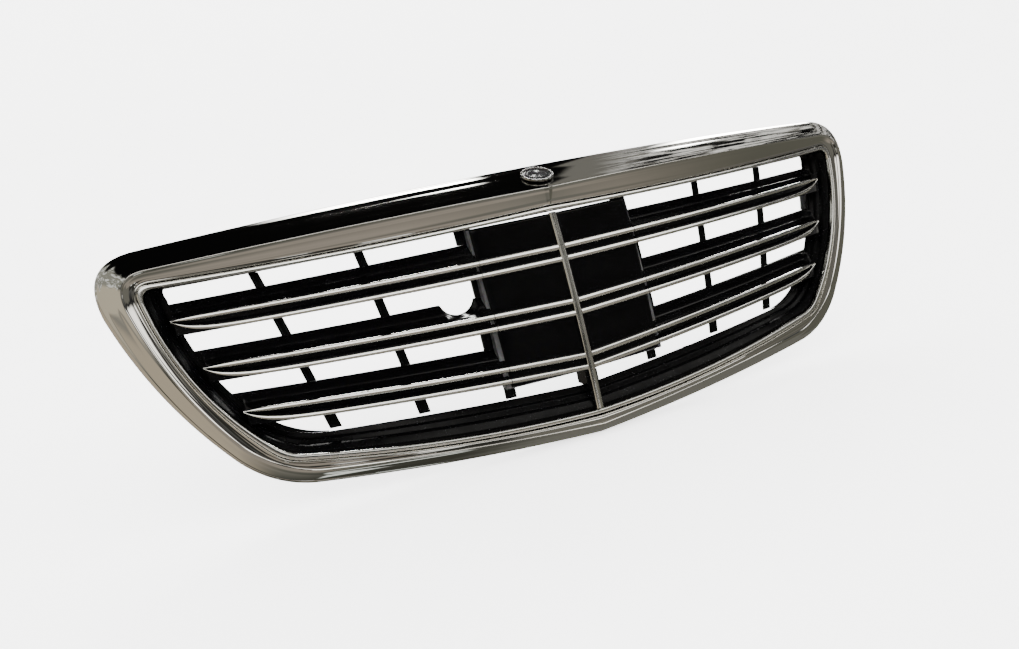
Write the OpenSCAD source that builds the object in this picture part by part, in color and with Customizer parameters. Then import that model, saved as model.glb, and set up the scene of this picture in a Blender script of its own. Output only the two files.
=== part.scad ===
// Front grille of a large saloon car: a plated surround with a shallow vee in plan, three twin
// louvres a side, an air lattice behind them and a flat cover for a distance sensor in the middle.
//
// The face frame used while drawing has its origin on the centre plane, level with the tips of
// the upper louvres: +X to the right seen from the front, +Y to the rear, +Z up. datum() then
// moves every piece so that the part's origin is the midpoint of the two upper fixing bolts.

/* [Face] */
// Half width of the surround at its upper corners, to the front crease
half_w = 444; // [430:1:460]
// Height of the front crease at the centre top
crown_z = 63; // [60:0.5:66]
// Height of the front crease at the centre foot
foot_z = -190; // [-194:0.5:-186]
// Rearward lean of the face, per unit of height
face_lean = 0.3; // [0.26:0.01:0.34]
// Extra lean that builds up with height
lean_growth = 0.0004; // [0.0002:0.0001:0.0006]
// Vee in plan: how far the face falls back per unit of half width
vee = 0.04; // [0.03:0.005:0.05]
// Bow in plan, per unit of half width squared
plan_bow = 0.000294; // [0.00026:0.000002:0.00032]

/* [Surround] */
// Wall of the plated surround
shell_wall = 3; // [2.5:0.1:3.5]
// Depth of the turned-in rear lip
lip_depth = 12; // [8:1:14]
// Width of the bright bead round the insert
bead_w = 5; // [4:0.5:6]

/* [Louvres] */
// Height between the upper and the lower bright strip of a louvre
louvre_gap = 12.6; // [12:0.1:13.4]
// Height of each bright strip at the centre
strip_h = 5.4; // [4.6:0.1:5.8]
// Height that a bright strip loses on the way to the corner
strip_loss = 1.2; // [0.8:0.1:1.4]
// Length over which a strip's end narrows to its point
point_len = 28; // [20:1:36]
// How far a strip stands in front of its seat
strip_d = 3; // [2:0.1:3.6]
// How gently the lower strip sweeps up to the tip
sweep_len = 18; // [14:1:22]
// Height of the louvre crest above its upper strip
crest_h = 17.8; // [15:0.1:19]
// Depth of the louvre body behind the face
body_d = 20; // [19:0.5:20]

/* [Lattice] */
// Depth of the lattice front behind the face
lattice_front = 20.5; // [20.5:0.5:22]
// Depth of the lattice rear behind the face
lattice_rear = 26.5; // [26:0.5:30]
// Width of an upright in the air openings
strut_w = 9.6; // [8:0.2:10.4]
// Radius of the camera cut-out
camera_r = 19.5; // [16:0.5:20]

/* [Centre] */
// Half width of the sensor cover at its top
cover_half = 93.5; // [92:0.5:95]
// Thickness of the sensor cover
cover_t = 3; // [2.5:0.1:3.5]
// Width of the centre bar
bar_w = 7.6; // [6:0.2:9]
// Radius of the badge
badge_r = 18; // [16:0.5:19]

/* [Fixings] */
// Distance from the centre to each upper fixing bolt
bolt_x = 260; // [250:1:270]
// Radius of the upper bolt sleeves' bores
bolt_r = 3.3; // [3.2:0.1:3.5]
// Radius of the lower locating pins
pin_r = 4; // [3.5:0.1:5]
// Radius of the side bolt holes
side_r = 3.3; // [3.2:0.1:3.5]

/* [Hidden] */
$fn = 48;
// Upper fixing bolts in the face frame: rearward and upward place
bolt_y = 62;
bolt_z = 62;
// Outline of the front crease: centre top, upper corner, lower corner, centre foot
crease_pts = [[0, crown_z], [half_w, crown_z - 11], [half_w - 110, foot_z + 29], [0, foot_z]];
// Louvres: height of the upper strip at the centre, its rise per unit of half width, tip
louvre_z = [-0.3, -57.6, -115.3];
louvre_rise = [0.0015, 0.024, 0.054];
louvre_tip = [400, 381, 355];
// Seam between the louvres and the sensor cover
seam = 0.6;
// Uprights: half width at height 0 and its change per unit of height
strut_foot = [[304.4, 0.256], [201.9, 0.155]];
// Camera cut-out, on the left only: half width and height of its centre
camera_x = 120.5;
camera_z = -31;
// Half height of a strip's point, and how far apart the points of a louvre's two strips are
tip_h = 0.5;
tip_gap = 0.6;
// Ends of the centre bar's three lengths
bar_ends = [36, 1.5, -113.5, -173];
// Lower edge of the sensor cover
cover_foot = -130;
edge_n = 10;
corner_n = 5;
plated = [0.78, 0.78, 0.8];
gloss_black = [0.05, 0.05, 0.06];
matt_black = [0.12, 0.12, 0.13];
zinc = [0.7, 0.68, 0.6];

// ---- face and outlines ----

// Depth of the face at the centre plane
function spine(z) = -63 + face_lean * (z + 6) + lean_growth * (z + 6) ^ 2;
// Depth of the face at any half width and height
function face(x, z) = spine(z) + vee * abs(x) + plan_bow * x ^ 2;
function mix(a, b, t) = a * (1 - t) + b * t;
function bezier(a, m, b, t) = (1 - t) ^ 2 * a + 2 * t * (1 - t) * m + t ^ 2 * b;
// Points along an edge from a to b that bows out by bow in the middle
function edge(a, b, bow, t0, t1) =
  let (d = b - a, m = (a + b) / 2 + 2 * bow * [-d.y, d.x] / norm(d))
  [for (k = [0 : edge_n - 1]) bezier(a, m, b, mix(t0, t1, k / (edge_n - 1)))];
function corner(a, m, b) = [for (k = [1 : corner_n]) bezier(a, m, b, k / (corner_n + 1))];
function last(v) = v[len(v) - 1];

// A rail is a closed line round the face: [four points, bows, rounding lengths, depths].
// The depths are its place behind the face at the centre, what the ends add and what height adds.
function rail(steps, bows, rounds, depths) =
  [[for (k = [0 : 3]) crease_pts[k] + steps[k]], bows, rounds, depths];
bead_rail = rail([[0, -25.6], [-22.4, -17.2], [-10.6, 17], [0, 15.4]], [-2.5, 19, 6.5], [14, 14],
  [2, -17, 1]);
groove_rail = rail([[0, -19.2], [-16.3, -11], [-5.7, 12], [0, 9.3]], [-2.8, 19, 6.5], [18, 12],
  [0, -15, 2.5]);
crease_rail = rail([[0, 0], [0, 0], [0, 0], [0, 0]], [3.7, 18.4, 1.7], [32, 46], [-6, -10, -3]);
rim_rail = rail([[0, 20], [28, 14.5], [7, -12.5], [0, -12.5]], [3.8, 22, 4.2], [55, 40],
  [26, -34, 12]);
throat_rail = rail([[0, -28.5], [-41, -23.5], [-12, 27.2], [0, 39.8]], [0, 17, 0.4], [5, 44],
  [18, 0, 0]);

// The same rail grown outwards by d and moved rearwards by dy
function grow(r, d, dy) =
  [r[0] + d * [[0, 1], [1, 1], [0.9, -1], [0, -1]], r[1], r[2], r[3] + [dy, 0, 0]];
function blend(a, b, t) = [mix(a[0], b[0], t), mix(a[1], b[1], t), mix(a[2], b[2], t),
  mix(a[3], b[3], t)];
// Right half of a rail's outline, from centre top to centre foot
function half_outline(r) =
  let (p = r[0], top = r[2][0] / norm(p[1] - p[0]), shoulder = r[2][0] / norm(p[2] - p[1]),
    hip = r[2][1] / norm(p[2] - p[1]), toe = r[2][1] / norm(p[3] - p[2]),
    e1 = edge(p[0], p[1], r[1][0], 0, 1 - top), e2 = edge(p[1], p[2], r[1][1], shoulder, 1 - hip),
    e3 = edge(p[2], p[3], r[1][2], toe, 1))
  concat(e1, corner(last(e1), p[1], e2[0]), e2, corner(last(e2), p[2], e3[0]), e3);
function rail_point(r, q) =
  [q.x, face(q.x, q.y) + r[3][0] + r[3][1] * (q.x / 450) ^ 2 + r[3][2] * (q.y + 60) / 130, q.y];
// Whole rail, clockwise seen from the front, starting at the centre top
function rail_line(r) =
  let (h = [for (q = half_outline(r)) rail_point(r, q)], n = len(h))
  concat(h, [for (k = [n - 2 : -1 : 1]) [-h[k].x, h[k].y, h[k].z]]);

// ---- solids from two facing grids ----

function transpose(g) = [for (j = [0 : len(g[0]) - 1]) [for (row = g) row[j]]];
// Solid between a front and a rear grid of points. Rows run along, points in a row run across,
// and along x across points out of the front. A closed solid joins its last row to its first.
module between(front, rear, closed = false) {
  m = len(front);
  n = len(front[0]);
  s = m * n;
  runs = closed ? m : m - 1;
  points = [for (row = front) each row, for (row = rear) each row];
  quads = [
    for (i = [0 : runs - 1], j = [0 : n - 2]) let (a = i * n + j, b = (i + 1) % m * n + j)
      each [[a, a + 1, b + 1, b], [s + b, s + b + 1, s + a + 1, s + a]],
    for (i = [0 : runs - 1]) let (a = i * n, b = (i + 1) % m * n)
      each [[a, b, s + b, s + a], [b + n - 1, a + n - 1, s + a + n - 1, s + b + n - 1]],
    if (!closed) for (j = [0 : n - 2]) let (b = (m - 1) * n + j)
      each [[j + 1, j, s + j, s + j + 1], [b, b + 1, s + b + 1, s + b]]];
  polyhedron(points, [for (q = quads) each [[q[0], q[1], q[2]], [q[0], q[2], q[3]]]]);
}
// Closed band round the face, between two chains of rails
module band(front, rear) {
  between(transpose([for (r = front) rail_line(r)]), transpose([for (r = rear) rail_line(r)]),
    closed = true);
}
// Strip along the face: xs are its stations, and rows gives [depth, height] pairs at a station
module strip(xs, front, rear) {
  between([for (x = xs) [for (q = front(x)) [x, face(x, q[1]) + q[0], q[1]]]],
    [for (x = xs) [for (q = rear(x)) [x, face(x, q[1]) + q[0], q[1]]]]);
}
function steps(a, b, n) = [for (k = [0 : n]) mix(a, b, k / n)];
module datum() { translate([0, -bolt_y, -bolt_z]) children(); }
module left() { mirror([1, 0, 0]) children(); }

// ---- surround and frame ----

module surround() {
  w = shell_wall;
  shoulder = grow(blend(crease_rail, rim_rail, 0.45), 1.5, -1);
  color(plated) datum() band(
    [grow(groove_rail, 0, 7), groove_rail, crease_rail, shoulder, rim_rail,
      grow(rim_rail, -1, lip_depth)],
    [grow(groove_rail, w, 7), grow(groove_rail, w, w + 1), grow(crease_rail, -w / 2, w + 1),
      grow(shoulder, -w, w), grow(rim_rail, -w, w), grow(rim_rail, -w - 1, lip_depth)]);
}
module insert_bezel() {
  color(plated) datum() band(
    [grow(bead_rail, 0, 4), grow(bead_rail, 0.6, 0), grow(bead_rail, bead_w / 2, -1.4),
      grow(bead_rail, bead_w - 0.6, 0), grow(bead_rail, bead_w, 4)],
    [for (k = [0 : 4]) grow(bead_rail, bead_w * k / 4, 6.5)]);
}
// Depth of the carrier's throat
throat_d = 15;
flange_rail = grow(rim_rail, -8, lip_depth + 2);
// The throat opens out towards its rear
mouth_rail = blend(grow(throat_rail, 0, throat_d), flange_rail, 0.16);
// Stepped carrier behind the surround, drawn in four lengths: stations from to to of its line
module carrier_length(from, to) {
  w = 2.6;
  step_rail = blend(bead_rail, throat_rail, 0.45);
  function cut(rails) = let (lines = [for (r = rails) rail_line(r)], n = len(lines[0]))
    [for (k = [from : to]) [for (l = lines) l[(k + n) % n]]];
  color(gloss_black) datum() between(
    cut([grow(bead_rail, 5, 7 + w), grow(bead_rail, w, 7 + w), grow(step_rail, w, w),
      grow(step_rail, w - 1, 5), grow(throat_rail, w, w), grow(mouth_rail, w, -w),
      grow(rim_rail, -8, lip_depth - 1)]),
    cut([grow(bead_rail, 5, 7), grow(bead_rail, -0.5, 7), grow(step_rail, 0, 0),
      grow(step_rail, -1, 2), throat_rail, mouth_rail, flange_rail]));
}
carrier_top_end = edge_n - 1;
carrier_foot_end = 2 * (edge_n + corner_n);
carrier_centre = 3 * edge_n + 2 * corner_n - 1;
module carrier_top() { carrier_length(-carrier_top_end, carrier_top_end); }
module carrier_right() { carrier_length(carrier_top_end, carrier_foot_end); }
module carrier_foot() { carrier_length(carrier_foot_end, 2 * carrier_centre - carrier_foot_end); }
module carrier_left() {
  carrier_length(2 * carrier_centre - carrier_foot_end, 2 * carrier_centre - carrier_top_end);
}

// ---- louvres ----

function strip_z(row, x) = louvre_z[row] + louvre_rise[row] * x;
// Height between the two strips of a louvre: it closes towards the tip
function gap_at(row, x) =
  tip_gap + (louvre_gap - tip_gap) * (1 - exp((x - louvre_tip[row]) / sweep_len));
// Half height of a strip: it narrows to a point at the tip
function half_h(row, x) = let (u = min(1, (louvre_tip[row] - x) / point_len))
  max(tip_h, (strip_h - strip_loss * x / half_w) / 2 * sin(90 * max(0, u)));
// Top of the louvre, lowered under the camera cut-out
function crest_z(row, x, camera) =
  let (top = strip_z(row, x) + crest_h - 0.018 * (x - 100), dx = abs(x - camera_x))
  camera && row == 1 && dx < camera_r ? min(top, camera_z - sqrt(camera_r ^ 2 - dx ^ 2)) : top;
function inner_end(z) = cover_half + 0.03 * min(0, z) + seam;
function louvre_xs(row, camera) =
  let (a = inner_end(louvre_z[row]), b = louvre_tip[row] - 3, cut = camera && row == 1)
  concat(cut ? [for (k = [0 : 10]) camera_x - camera_r * cos(18 * k)] : [],
    cut ? steps(camera_x + camera_r + 14, b - 84, 5) : steps(a, b - 84, 8), steps(b - 72, b, 6));

module louvre_body(row, camera = false) {
  seat = strip_d / 2 + 0.2;
  // Lower edge of the body, which stays straight where the lower strip sweeps up
  function foot(x) = strip_z(row, x) - louvre_gap - 3.2;
  function recess(x) = max(0.6, gap_at(row, x) - 2 * half_h(row, x));
  function depth(x) = min(body_d, 6 + louvre_tip[row] - x);
  xs = louvre_xs(row, camera);
  strip(camera && row == 1 ? concat([inner_end(louvre_z[row])], xs) : xs,
    function(x) let (z = strip_z(row, x), h = half_h(row, x), r = recess(x), low = z - h - r)
      [[6, foot(x)], [seat, foot(x) + 1.4], [seat, low], [seat + 5, low + r / 4],
        [seat + 5, z - h - r / 4], [seat, z - h], [seat, z + h],
        [min(body_d, depth(x)) - 1, crest_z(row, x, camera)]],
    function(x) let (z = strip_z(row, x), h = half_h(row, x), r = recess(x), low = z - h - r)
      [for (q = [foot(x) + 0.4, foot(x) + 1.8, low, low + r / 4, z - h - r / 4, z - h, z + h,
        crest_z(row, x, camera)]) [depth(x), q]]);
}
// Bright hairpin: an upper and a lower strip that meet in a point at the tip
module louvre_trim(row) {
  run = louvre_tip[row] - inner_end(louvre_z[row]);
  xs = [for (k = [14 : -1 : 0]) louvre_tip[row] - run * (k / 14) ^ 1.8];
  for (low = [0, 1]) {
    mid = function(x) strip_z(row, x) - low * gap_at(row, x);
    bright_strip(xs, row, mid, strip_d / 2);
  }
}
// Bright strip with a blunt ridge, centred at height mid(x) and backed at the given depth
module bright_strip(xs, row, mid, back) {
  strip(xs, function(x) [for (t = [-1, 0, 1])
      [t == 0 ? -strip_d / 2 : -0.4, mid(x) + t * half_h(row, x)]],
    function(x) [for (t = [-1, 0, 1]) [back, mid(x) + t * half_h(row, x)]]);
}

module louvre_left_upper() { color(gloss_black) datum() left() louvre_body(0); }
module louvre_left_middle() { color(gloss_black) datum() left() louvre_body(1, camera = true); }
module louvre_left_lower() { color(gloss_black) datum() left() louvre_body(2); }
module louvre_right_upper() { color(gloss_black) datum() louvre_body(0); }
module louvre_right_middle() { color(gloss_black) datum() louvre_body(1); }
module louvre_right_lower() { color(gloss_black) datum() louvre_body(2); }
module trim_left_upper() { color(plated) datum() left() louvre_trim(0); }
module trim_left_middle() { color(plated) datum() left() louvre_trim(1); }
module trim_left_lower() { color(plated) datum() left() louvre_trim(2); }
module trim_right_upper() { color(plated) datum() louvre_trim(0); }
module trim_right_middle() { color(plated) datum() louvre_trim(1); }
module trim_right_lower() { color(plated) datum() louvre_trim(2); }

// ---- lattice ----

function throat_top(x) = crown_z - 28.5 - 6 * x / (half_w - 41);
function throat_foot(x) = foot_z + 39.8 + 0.051 * x;
// Half width of the throat's side at a height, for the throat's line grown by d
function throat_x(z, d) =
  let (r = grow(throat_rail, d, 0), a = r[0][1], b = r[0][2], s = b - a,
    m = (a + b) / 2 + 2 * r[1][1] * [-s.y, s.x] / norm(s),
    bend = a.y - 2 * m.y + b.y, fall = 2 * (a.y - m.y),
    t = (fall - sqrt(fall ^ 2 - 4 * bend * (a.y - z))) / (2 * bend))
  bezier(a, m, b, t).x;
slat_t = 3;
// How far a slat reaches below the upper strip of its louvre
slat_drop = 16;
// Width of the outermost upright, which follows the side of the throat
side_upright_w = 5.2;
// Half width of the outermost louvre screws
screw_end = [374, 346, 304];
// Half width and breadth of the innermost upright of the lowest openings
foot_post_x = 87.5;
foot_post_w = 12;
// Upright beside the sensor cover: its two edges, and its outer edge next to the camera cut-out
inner_post = [86, 104.6];
camera_post_end = 100.4;

// One side's slats, one behind each louvre
module slats(camera = false) {
  for (row = [0 : 2]) {
    cut = camera && row == 1;
    tip = louvre_tip[row];
    side = -1;
    xs = concat([cover_half - 11], cut ? [for (k = [0 : 10]) camera_x - camera_r * cos(18 * k)] : [],
      steps(cut ? camera_x + camera_r + 6 : cover_half + 10, tip - 50, 6));
    low = function(x) strip_z(row, x) - slat_drop;
    top = function(x) crest_z(row, x, camera);
    ends = concat([for (x = xs) [x, x]],
      [[throat_x(low(tip - 20), side), throat_x(top(tip - 10), side)]]);
    wall = function(dy) [for (q = ends) [for (p = [[q[0], low(q[0])], [q[1], top(q[1])]])
      [p.x, face(p.x, p.y) + lattice_front + dy, p.y]]];
    between(wall(0), wall(slat_t));
  }
}
// Outermost upright, in front of the slats' ends along the side of the throat
module side_upright() {
  front = 0.4;
  rear = 2.3;
  // Its outer side lies just inside the flared throat
  outer = rail_line(grow(blend(throat_rail, mouth_rail, 0.03), -0.2, 0));
  outer_rear = rail_line(grow(blend(throat_rail, mouth_rail, 0.13), -0.2, 0));
  full = rail_line(grow(throat_rail, -0.4 - side_upright_w, front));
  first = edge_n - 1;
  end = 2 * (edge_n + corner_n);
  // It narrows away round the two corners
  inner = [for (k = [0 : end])
    mix(outer[k], full[k], min(1, (k - first + 0.6) / corner_n, (end - k + 0.6) / corner_n))];
  ks = [first : end];
  between([for (k = ks) [inner[k], outer[k]]],
    [for (k = ks) [inner[k] + [0, rear - front, 0], outer_rear[k]]]);
}
// One side's uprights: a rib behind the slats and a broad fin in every row of air openings
module uprights(camera = false) {
  for (u = strut_foot) {
    rib(u[0], u[1], rib_shift, throat_foot(u[0]) + 1.4, throat_top(u[0]) - 0.6);
    for (row = [0 : 3]) fin(u[0], u[1], row, row == 3 ? foot_post_w : strut_w);
  }
  rib(mix(inner_post[0], inner_post[1], 0.5), 0, 0, -128, 20);
  for (row = [0 : 2]) let (end = camera && row == 1 ? camera_post_end : inner_post[1],
    mid = mix(inner_post[0], end, 0.5), h = (end - inner_post[0]) / 2, zs = fin_ends(mid, row))
    bar(mid, 0, zs, [-h, h, row == 0 ? lattice_front : frame_rear + 0.4], [-h, h - 1]);
  rib(foot_post_x, 0, 0, throat_foot(foot_post_x) + 1.4, cover_foot + 12);
  fin(foot_post_x, 0, 3, foot_post_w);
  side_upright();
}
// Depths of the front and the rear of the fins, and how their two sides close in towards the rear
fin_front = 18;
fin_rear = 24.5;
fin_taper = [4.4, 1.4];
// How far a rib stands outwards of the middle of its fins
rib_shift = 1.6;
// Bar up the face between two heights: each side gives its edges, and the front its depth too
module bar(foot, slope, zs, near, far, rear = fin_rear) {
  function wall(side, depth) = [for (z = zs) let (x = foot + slope * z + side)
    [x, face(x, z) + depth, z]];
  between([wall(near[0], near[2]), wall(near[1], near[2])], [wall(far[0], rear), wall(far[1], rear)]);
}
module rib(foot, slope, out, low, top) {
  h = 1.4;
  front = lattice_front + slat_t + 0.05;
  bar(foot + out, slope, steps(low, top, 5), [-h, h, front], [-h, h], lattice_rear);
}
// Heights of the ends of a fin in one row of openings
function fin_ends(foot, row) =
  [row == 3 ? throat_foot(foot) + 0.6 : crest_z(row, foot, false) + 0.4,
    row == 0 ? throat_top(foot) - 0.6 : foot < cover_half && row == 3 ? cover_foot - 3
      : strip_z(row - 1, foot) - slat_drop - 0.4];
// Fin: broad in front, narrower behind
module fin(foot, slope, row, w) {
  bar(foot, slope, fin_ends(foot, row), [-w / 2, w / 2, fin_front],
    [fin_taper[0] - w / 2, w / 2 - fin_taper[1]]);
}
module slats_left() { color(gloss_black) datum() left() slats(camera = true); }
module slats_right() { color(gloss_black) datum() slats(); }
module uprights_left() { color(gloss_black) datum() left() uprights(camera = true); }
module uprights_right() { color(gloss_black) datum() uprights(); }

// ---- centre ----

cover_front = 2.6;
cover_rear = cover_front + cover_t;
frame_front = cover_rear + 0.9;
frame_rear = frame_front + 9.5;
function cover_w(z) = cover_half + 0.03 * min(0, z);

module sensor_cover() {
  function sheet(depth) = [for (t = steps(-1, 1, 8)) [for (z = steps(cover_foot, 33.5, 8))
    let (x = t * cover_w(z)) [x, face(x, z) + depth, z]]];
  color(gloss_black) datum() between(sheet(cover_front), sheet(cover_rear));
}
// Frame behind the cover, clipped to the lattice uprights
module cover_frame() {
  // Half of the way round, from centre top to centre foot
  function half_loop(w, top, low) = concat([for (x = steps(0, w, 3)) [x, top]],
    [for (z = steps(top, low, 5)) [w, z]], [for (x = steps(w, 0, 3)) [x, low]]);
  function loop(w, top, low, depth) = let (h = half_loop(w, top, low), n = len(h))
    [for (q = concat(h, [for (k = [n - 2 : -1 : 1]) [-h[k].x, h[k].y]]))
      [q.x, face(q.x, q.y) + depth, q.y]];
  function thin(v) = [for (k = [0 : len(v) - 1]) if (norm(v[k] - v[(k + 1) % len(v)]) > 0.01) v[k]];
  w = cover_half + 2;
  function pair(depth) = transpose([thin(loop(w - 14, 20, cover_foot + 10, depth)),
    thin(loop(w, 33, cover_foot - 2, depth))]);
  color(matt_black) datum() between(pair(frame_front), pair(frame_rear), closed = true);
}
// Bright strips that carry one louvre's lines across the cover, up to the centre bar
module cover_strips(row) {
  xs = steps(bar_w / 2 + 0.1, cover_w(louvre_z[row]) - 0.1, 5);
  for (drop = [0, louvre_gap]) {
    mid = function(x) strip_z(row, x) - drop;
    bright_strip(xs, row, mid, cover_front - 0.2);
  }
}
module cover_strips_upper() { color(plated) datum() { cover_strips(0); left() cover_strips(0); } }
module cover_strips_middle() { color(plated) datum() { cover_strips(1); left() cover_strips(1); } }
module cover_strips_lower() { color(plated) datum() { cover_strips(2); left() cover_strips(2); } }
// One length of the bar down the centre
module centre_bar(top, low) {
  h = bar_w / 2;
  zs = steps(low + 0.15, top - 0.15, 6);
  function column(x, depth) = [for (z = zs) [x, face(x, z) + depth, z]];
  between([column(-h, 0.2), column(-0.6 * h, -2), column(0.6 * h, -2), column(h, 0.2)],
    [for (x = [-h, -0.6 * h, 0.6 * h, h]) column(x, cover_front - 0.2)]);
}
module centre_bar_top() { color(plated) datum() centre_bar(bar_ends[0], bar_ends[1]); }
module centre_bar_middle() { color(plated) datum() centre_bar(bar_ends[1], bar_ends[2]); }
module centre_bar_foot() { color(plated) datum() centre_bar(bar_ends[2], bar_ends[3]); }
// Post behind the foot of the centre bar, between the two innermost lower openings
module centre_post() {
  half = 7;
  foot = throat_foot(0) + 1;
  head = cover_foot - 2.6;
  function wall(x, depth, zs) = [for (z = zs) [x, face(x, z) + depth, z]];
  color(gloss_black) datum()
    between([wall(-half, cover_front, [foot, head]), wall(half, cover_front, [foot, head])],
      [wall(-half, lattice_rear, [foot, head]), wall(half, lattice_rear, [foot, head])]);
}

// ---- badge on the crown of the surround ----

badge_y = -24;
badge_z = 75.2;
badge_tilt = 20;
module on_crown() { translate([0, badge_y, badge_z]) rotate([badge_tilt, 0, 0]) children(); }
module badge_ring() {
  color(plated) datum() on_crown() rotate_extrude()
    polygon([[badge_r - 2.8, 0], [badge_r, 0], [badge_r, 1.4], [badge_r - 0.7, 2.4],
      [badge_r - 2, 2.4], [badge_r - 2.8, 1.6]]);
}
module badge_disc() {
  stem_r = 2.5;
  color(matt_black) datum() on_crown() rotate_extrude()
    polygon([[0, -10], [stem_r, -10], [stem_r, 0], [badge_r - 3, 0], [badge_r - 3, 1],
      [badge_r - 6, 1.4], [0, 1.8]]);
}
module badge_nut() {
  color(zinc) datum() on_crown() translate([0, 0, -8]) difference() {
    union() {
      cylinder(r = 6.5, h = 1);
      cylinder(r = 4.4, h = 3, $fn = 6);
    }
    translate([0, 0, -1]) cylinder(r = 2.6, h = 6);
  }
}

// ---- brackets ----

flange_slope = 30;
plate_t = 3;
// Upper bracket: a sloping foot on the carrier's rear flange and a level tab for the bolt
module upper_bracket() {
  foot_y = bolt_y - 28.6;
  difference() {
    union() {
      translate([bolt_x, bolt_y, bolt_z - plate_t / 2]) cylinder(r = 12, h = plate_t);
      translate([bolt_x - 12, foot_y, bolt_z - plate_t / 2]) cube([24, bolt_y - foot_y, plate_t]);
      translate([bolt_x, foot_y, bolt_z]) rotate([-flange_slope, 0, 0])
        translate([-21, 0, -30]) cube([42, plate_t, 31]);
    }
    translate([bolt_x, bolt_y, bolt_z - 10]) cylinder(r = bolt_r + 1.8, h = 20);
    translate([bolt_x, foot_y, bolt_z]) rotate([-flange_slope, 0, 0]) for (x = [-14, 14])
      translate([x, -5, -20]) rotate([-90, 0, 0]) cylinder(r = 2.4, h = 15);
  }
}
module upper_bracket_left() { color(matt_black) datum() left() upper_bracket(); }
module upper_bracket_right() { color(matt_black) datum() upper_bracket(); }
// Steel sleeves that keep the upper bolts from crushing the tabs
module bolt_sleeves() {
  color(zinc) datum() for (x = [-bolt_x, bolt_x]) translate([x, bolt_y, bolt_z]) difference() {
    cylinder(r = bolt_r + 1.8, h = 4, center = true);
    cylinder(r = bolt_r, h = 6, center = true);
  }
}
lower_x = 170;
lower_z = -161;
lower_y = -51;
lower_slope = 17;
pin_len = 14;
collar_h = 5.5;
// Lower bracket: a pad on the rear flange that carries a locating pin
module lower_bracket() {
  difference() {
    union() {
      translate([lower_x, lower_y, lower_z]) rotate([-lower_slope, 0, 0])
        translate([-24, 0, -11]) cube([48, plate_t, 22]);
      translate([lower_x, lower_y, lower_z]) rotate([-90, 0, 0]) {
        translate([0, 0, 1.8]) cylinder(r = pin_r + 2.5, h = collar_h - 1.8);
        cylinder(r = pin_r, h = collar_h + pin_len);
      }
    }
    translate([lower_x, lower_y, lower_z]) rotate([-lower_slope, 0, 0]) for (x = [-17, 17])
      translate([x, -5, 0]) rotate([-90, 0, 0]) cylinder(r = 2.4, h = 15);
  }
}
module lower_bracket_left() { color(matt_black) datum() left() lower_bracket(); }
module lower_bracket_right() { color(matt_black) datum() lower_bracket(); }
side_x = 418;
side_y = 38;
side_z = -22;
ear_len = 26;
// Side bracket: a pad on the rear flange and an ear with the side bolt's hole
module side_bracket() {
  difference() {
    union() {
      translate([side_x - 16, side_y, side_z - 20]) cube([34, plate_t, 40]);
      translate([side_x, side_y, side_z - 11]) cube([plate_t, ear_len - 11, 22]);
      translate([side_x, side_y + ear_len - 11, side_z]) rotate([0, 90, 0])
        cylinder(r = 11, h = plate_t);
    }
    translate([side_x - 5, side_y + ear_len - 11, side_z]) rotate([0, 90, 0])
      cylinder(r = side_r, h = 15);
    for (z = [-14.5, 14.5]) translate([side_x - 8, side_y - 5, side_z + z]) rotate([-90, 0, 0])
      cylinder(r = 2.4, h = 15);
  }
}
module side_bracket_left() { color(matt_black) datum() left() side_bracket(); }
module side_bracket_right() { color(matt_black) datum() side_bracket(); }

// ---- fasteners ----

// Pan-head screw along +Y, its head's seat at the origin
module screw(grip) {
  rotate([-90, 0, 0]) {
    cylinder(r1 = 4.2, r2 = 3.2, h = 2.2);
    translate([0, 0, -grip]) cylinder(r = 1.9, h = grip);
  }
}
module bracket_screws_side() {
  translate([bolt_x, bolt_y - 28.6, bolt_z]) rotate([-flange_slope, 0, 0]) for (x = [-14, 14])
    translate([x, plate_t, -20]) screw(8);
  translate([lower_x, lower_y, lower_z]) rotate([-lower_slope, 0, 0]) for (x = [-17, 17])
    translate([x, plate_t, 0]) screw(8);
  for (z = [-14.5, 14.5]) translate([side_x - 8, side_y + plate_t, side_z + z]) screw(8);
}
module bracket_screws() {
  color(zinc) datum() { bracket_screws_side(); left() bracket_screws_side(); }
}
// Screws from behind that hold the louvres to the lattice slats
module carrier_screws_side() {
  for (row = [0 : 2], x = [150, 250, screw_end[row]]) let (z = strip_z(row, x) - 6)
    translate([x, face(x, z) + lattice_front + slat_t + 0.4, z]) screw(12);
}
module carrier_screws() {
  color(zinc) datum() { carrier_screws_side(); left() carrier_screws_side(); }
}
// Screws that hold the cover in its frame
module cover_screws() {
  color(zinc) datum() for (x = [-87, 87], z = [12, -50, -112])
    translate([x, face(x, z) + frame_rear + 0.4, z]) screw(7);
}
// Spring clips that hold the carrier's edge in the lip of the surround
module edge_clips() {
  seat = rail_line(grow(rim_rail, -8.5, lip_depth + 3.4));
  n = len(seat);
  color(zinc) datum() for (k = [3, 7, 18, 23, 30, 35, n - 3, n - 7, n - 18, n - 23, n - 30, n - 35])
    let (p = seat[k], d = seat[k + 1] - seat[k - 1])
    translate(p) rotate([0, -atan2(d.z, d.x), 0]) {
      translate([-8, -0.6, -6]) cube([16, 1.2, 10]);
      for (x = [-5, 5]) translate([x, 0, 1]) rotate([-90, 0, 0]) cylinder(r = 1.6, h = 2);
    }
}

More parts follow.
